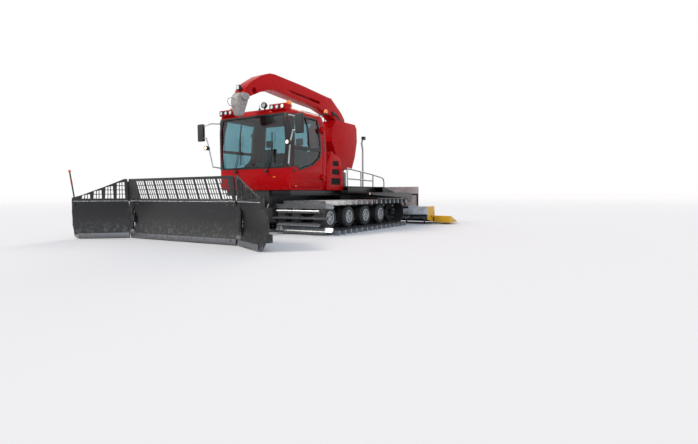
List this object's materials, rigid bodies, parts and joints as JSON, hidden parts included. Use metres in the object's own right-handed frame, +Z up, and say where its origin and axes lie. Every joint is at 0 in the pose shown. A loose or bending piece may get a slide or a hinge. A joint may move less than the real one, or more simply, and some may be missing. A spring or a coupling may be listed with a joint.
{
  "type": "snow groomer with blade, slewing winch and tiller",
  "caption": "Snow groomer on wide belt tracks, with a folding front blade, a slewing winch boom over the cab and a rear tiller.",
  "frame": {"origin": "on the ground, under the middle of the bounding box of the machine as parked", "axes": "+X to the vehicle's left, +Y to the rear along its length, +Z up"},
  "size_m": [6.14, 8.8968, 3.83],
  "materials": {
    "frame_black": "satin black paint with grime",
    "cast_block": "dull",
    "body_red": "gloss red paint",
    "deck_black": "matt, non-slip",
    "rail_black": "satin",
    "track_alloy": "worn, scratched",
    "tyre_rubber": "matt",
    "rim_grey": "satin",
    "tinted_glass": "tinted",
    "seat_fabric": "woven",
    "trim_black": "matt",
    "lamp_lens": "clear lens",
    "head_grey": "satin grey paint",
    "blade_black": "satin black, scuffed at the edge",
    "marker_orange": "gloss",
    "rod_chrome": "polished",
    "tiller_black": "satin",
    "rotor_steel": "worn",
    "comb_black": "matt",
    "flap_yellow": "matt"
  },
  "bodies": {
    "chassis": {"chassis": "frame_black", "engine_block": "cast_block", "rear_body": "body_red", "deck": "deck_black", "handrails": "rail_black", "track_left": "track_alloy", "track_right": "track_alloy", "tyres": "tyre_rubber", "rims": "rim_grey", "running_gear": "frame_black", "cab_shell": "body_red", "cab_glass": "tinted_glass", "seats": "seat_fabric", "dashboard": "trim_black", "wipers": "trim_black", "mirrors": "trim_black", "lamps": "lamp_lens", "winch_base": "frame_black"},
    "door_left": {"door_left": "body_red", "door_glass_left": "tinted_glass"},
    "door_right": {"door_right": "body_red", "door_glass_right": "tinted_glass"},
    "winch": {"winch_housing": "body_red", "winch_boom": "body_red", "sheave_head": "head_grey"},
    "push_frame": {"push_frame": "frame_black"},
    "swing_head": {"swing_head": "frame_black"},
    "blade": {"blade_center": "blade_black"},
    "wing_left": {"wing_left": "blade_black"},
    "wing_right": {"wing_right": "blade_black", "marker_pole": "marker_orange"},
    "blade_lift_barrels": {"blade_lift_barrels": "frame_black"},
    "blade_lift_rods": {"blade_lift_rods": "rod_chrome"},
    "wing_barrel_left": {"wing_barrel_left": "frame_black"},
    "wing_rod_left": {"wing_rod_left": "rod_chrome"},
    "wing_barrel_right": {"wing_barrel_right": "frame_black"},
    "wing_rod_right": {"wing_rod_right": "rod_chrome"},
    "tiller": {"tiller_frame": "frame_black", "tiller_housing": "tiller_black", "finisher_comb": "comb_black"},
    "tiller_rotor": {"tiller_rotor": "rotor_steel"},
    "side_finisher_left": {"side_finisher_left": "flap_yellow"},
    "side_finisher_right": {"side_finisher_right": "flap_yellow"},
    "tiller_lift_barrels": {"tiller_lift_barrels": "frame_black"},
    "tiller_lift_rods": {"tiller_lift_rods": "rod_chrome"}
  },
  "joints": [
    {"name": "blade_lift", "type": "hinge", "parent": "chassis", "child": "push_frame", "pos_m": [0, -1.57, 0.44], "axis": [-1, 0, 0], "range_deg": [-4, 20]},
    {"name": "blade_swing", "type": "hinge", "parent": "push_frame", "child": "swing_head", "pos_m": [0, -2.85, 0.4], "axis": [0, 0, 1], "range_deg": [-25, 25]},
    {"name": "blade_tilt", "type": "hinge", "parent": "swing_head", "child": "blade", "pos_m": [0, -3.42, 0.4], "axis": [0, 1, 0], "range_deg": [-8, 8]},
    {"name": "wing_left_fold", "type": "hinge", "parent": "blade", "child": "wing_left", "pos_m": [1.57, -3.63, 0.4], "axis": [0, 0, -1], "range_deg": [-47, 18]},
    {"name": "wing_right_fold", "type": "hinge", "parent": "blade", "child": "wing_right", "pos_m": [-1.57, -3.63, 0.4], "axis": [0, 0, 1], "range_deg": [-60, 5]},
    {"name": "blade_barrels_pivot", "type": "hinge", "parent": "chassis", "child": "blade_lift_barrels", "pos_m": [0.2, -1.54, 0.78], "axis": [-1, 0, 0], "range_deg": [-7, 23]},
    {"name": "blade_rods_slide", "type": "slide", "parent": "blade_lift_barrels", "child": "blade_lift_rods", "axis": [0, -0.9894, -0.1452], "range_m": [-0.15, 0.05]},
    {"name": "wing_left_barrel_pivot", "type": "hinge", "parent": "blade", "child": "wing_barrel_left", "pos_m": [0.82, -3.372, 0.48], "axis": [0, 0, 1], "range_deg": [-5, 9]},
    {"name": "wing_left_rod_slide", "type": "slide", "parent": "wing_barrel_left", "child": "wing_rod_left", "axis": [1, -0.0091, 0], "range_m": [-0.25, 0.12]},
    {"name": "wing_right_barrel_pivot", "type": "hinge", "parent": "blade", "child": "wing_barrel_right", "pos_m": [-0.82, -3.372, 0.48], "axis": [0, 0, -1], "range_deg": [-3, 10]},
    {"name": "wing_right_rod_slide", "type": "slide", "parent": "wing_barrel_right", "child": "wing_rod_right", "axis": [-0.9985, -0.0539, 0], "range_m": [-0.31, 0.05]},
    {"name": "door_left_hinge", "type": "hinge", "parent": "chassis", "child": "door_left", "pos_m": [1.153, -0.294, 1.9], "axis": [0, 0, 1], "range_deg": [0, 85]},
    {"name": "door_right_hinge", "type": "hinge", "parent": "chassis", "child": "door_right", "pos_m": [-1.153, -0.294, 1.9], "axis": [0, 0, -1], "range_deg": [0, 85]},
    {"name": "winch_slew", "type": "hinge", "parent": "chassis", "child": "winch", "pos_m": [0, 1.87, 1.67], "axis": [0, 0, 1], "continuous": true},
    {"name": "tiller_lift", "type": "hinge", "parent": "chassis", "child": "tiller", "pos_m": [0, 2.82, 0.62], "axis": [1, 0, 0], "range_deg": [-3, 22]},
    {"name": "tiller_barrels_pivot", "type": "hinge", "parent": "chassis", "child": "tiller_lift_barrels", "pos_m": [0.18, 2.8, 0.96], "axis": [1, 0, 0], "range_deg": [-4, 16]},
    {"name": "tiller_rods_slide", "type": "slide", "parent": "tiller_lift_barrels", "child": "tiller_lift_rods", "axis": [0, 0.9042, -0.427], "range_m": [-0.14, 0.03]},
    {"name": "rotor_spin", "type": "hinge", "parent": "tiller", "child": "tiller_rotor", "pos_m": [0, 3.47, 0.23], "axis": [1, 0, 0], "continuous": true},
    {"name": "side_finisher_left_fold", "type": "hinge", "parent": "tiller", "child": "side_finisher_left", "pos_m": [2.57, 3.64, 0.24], "axis": [0, -1, 0], "range_deg": [0, 85]},
    {"name": "side_finisher_right_fold", "type": "hinge", "parent": "tiller", "child": "side_finisher_right", "pos_m": [-2.57, 3.64, 0.24], "axis": [0, 1, 0], "range_deg": [0, 85]}
  ],
  "couplings": [
    {"joint": "blade_barrels_pivot", "follows": "blade_lift", "ratio": 0.9683},
    {"joint": "blade_rods_slide", "follows": "blade_lift", "m_per_rad": -0.3375},
    {"joint": "wing_left_barrel_pivot", "follows": "wing_left_fold", "ratio": -0.1209},
    {"joint": "wing_left_rod_slide", "follows": "wing_left_fold", "m_per_rad": 0.2735},
    {"joint": "wing_right_barrel_pivot", "follows": "wing_right_fold", "ratio": -0.1271},
    {"joint": "wing_right_rod_slide", "follows": "wing_right_fold", "m_per_rad": 0.2686},
    {"joint": "tiller_barrels_pivot", "follows": "tiller_lift", "ratio": 0.6188},
    {"joint": "tiller_rods_slide", "follows": "tiller_lift", "m_per_rad": -0.3128}
  ]
}
